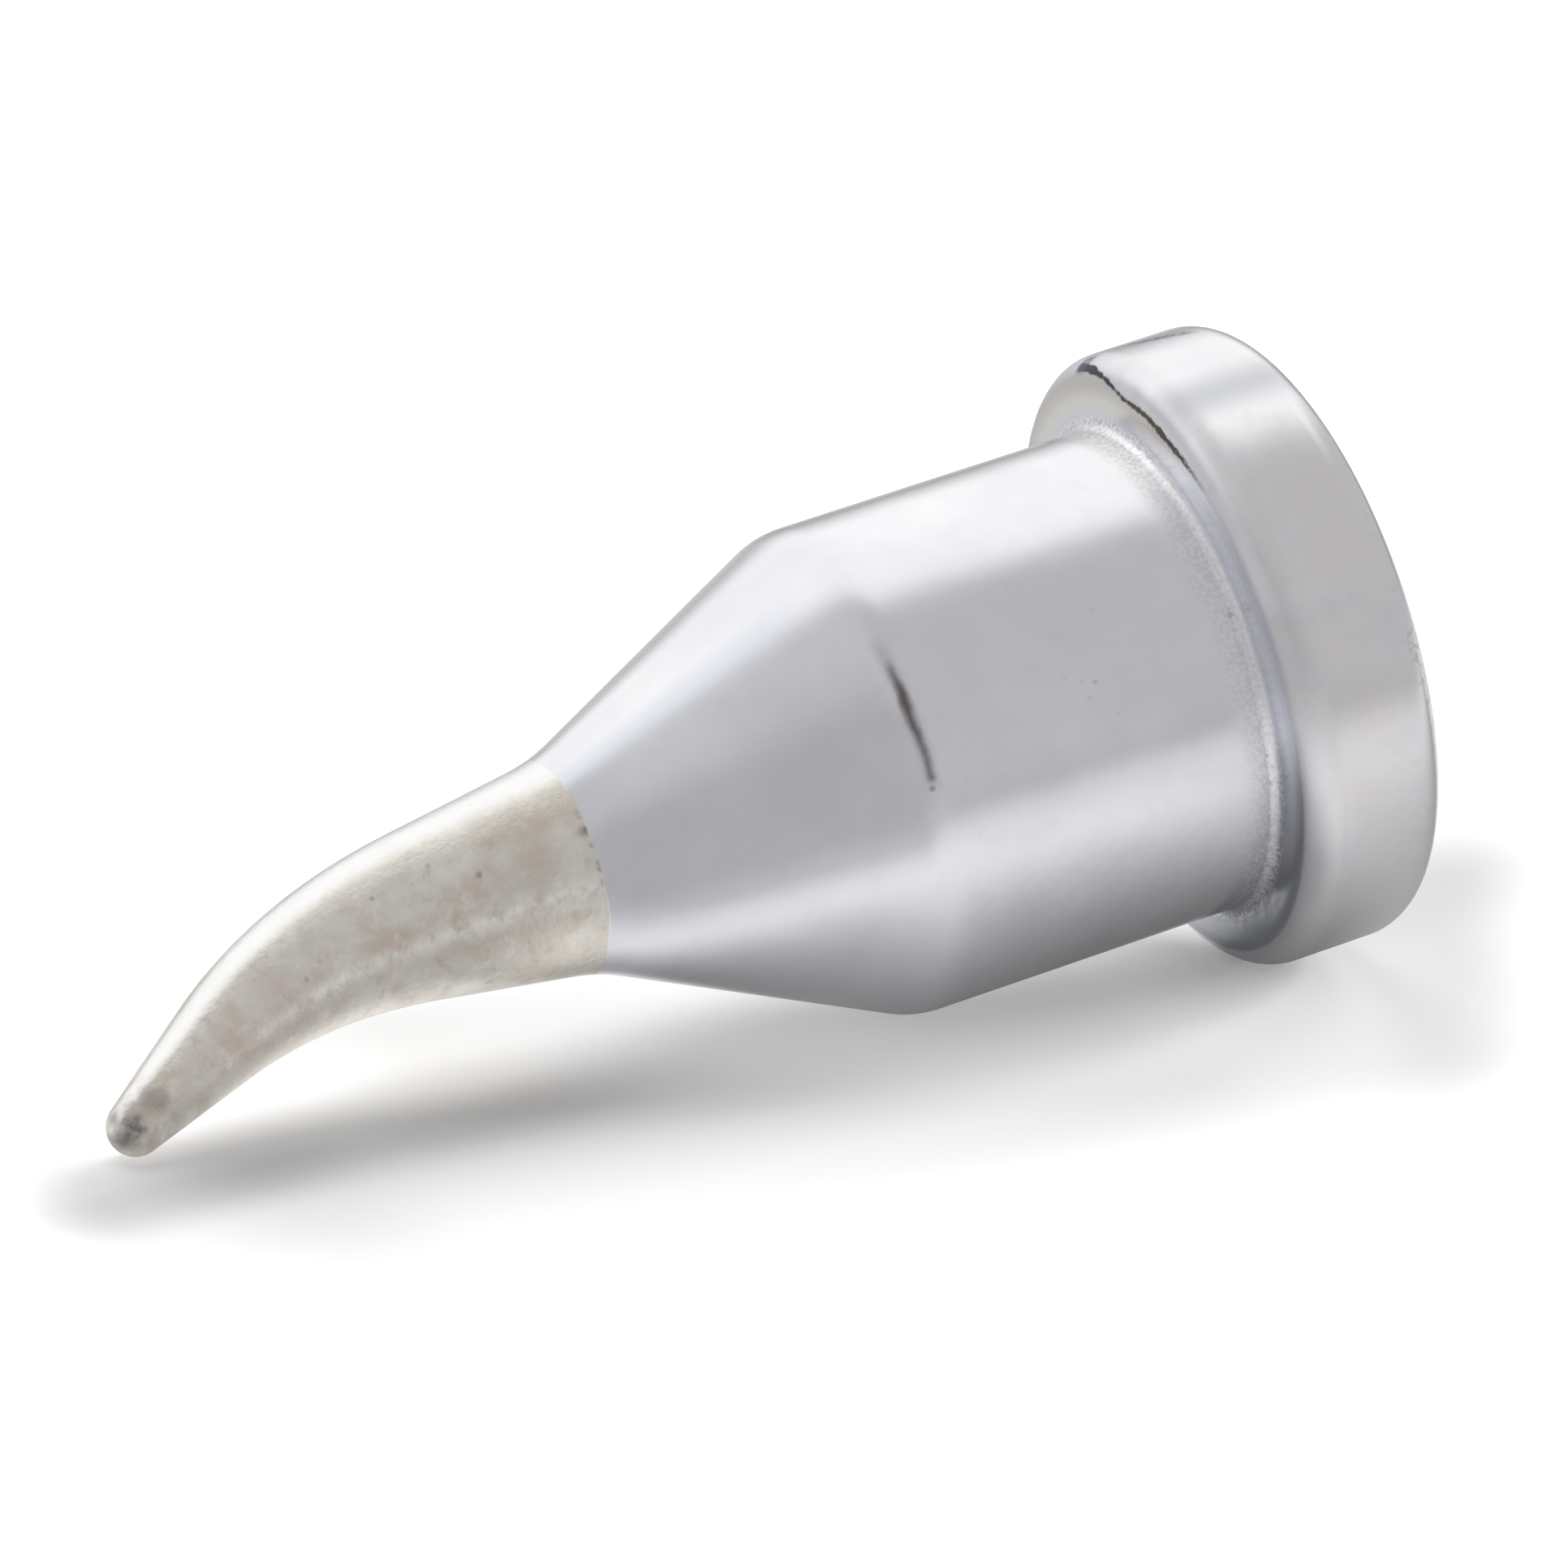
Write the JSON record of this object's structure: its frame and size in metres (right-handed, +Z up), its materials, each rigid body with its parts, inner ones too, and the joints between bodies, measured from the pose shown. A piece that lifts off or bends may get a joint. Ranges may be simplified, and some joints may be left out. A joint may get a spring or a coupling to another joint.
{
  "type": "bent soldering tip",
  "caption": "Hollow soldering tip with a rear collar, a plain barrel, a cone and a slender tinned nose bent to one side.",
  "frame": {"origin": "on the surface that the tip lies on, under the middle of its box", "axes": "+Z up off that surface; the tip lies along X with its bore mouth towards +X and its nose towards -X, and the nose bends towards -Y and down"},
  "size_m": [0.0178, 0.0082, 0.0084],
  "materials": {
    "plated_copper": "bright plated collar, barrel and cone; satin warm grey tinned nose"
  },
  "bodies": {
    "root": {"soldering_tip": "plated_copper"}
  },
  "joints": []
}
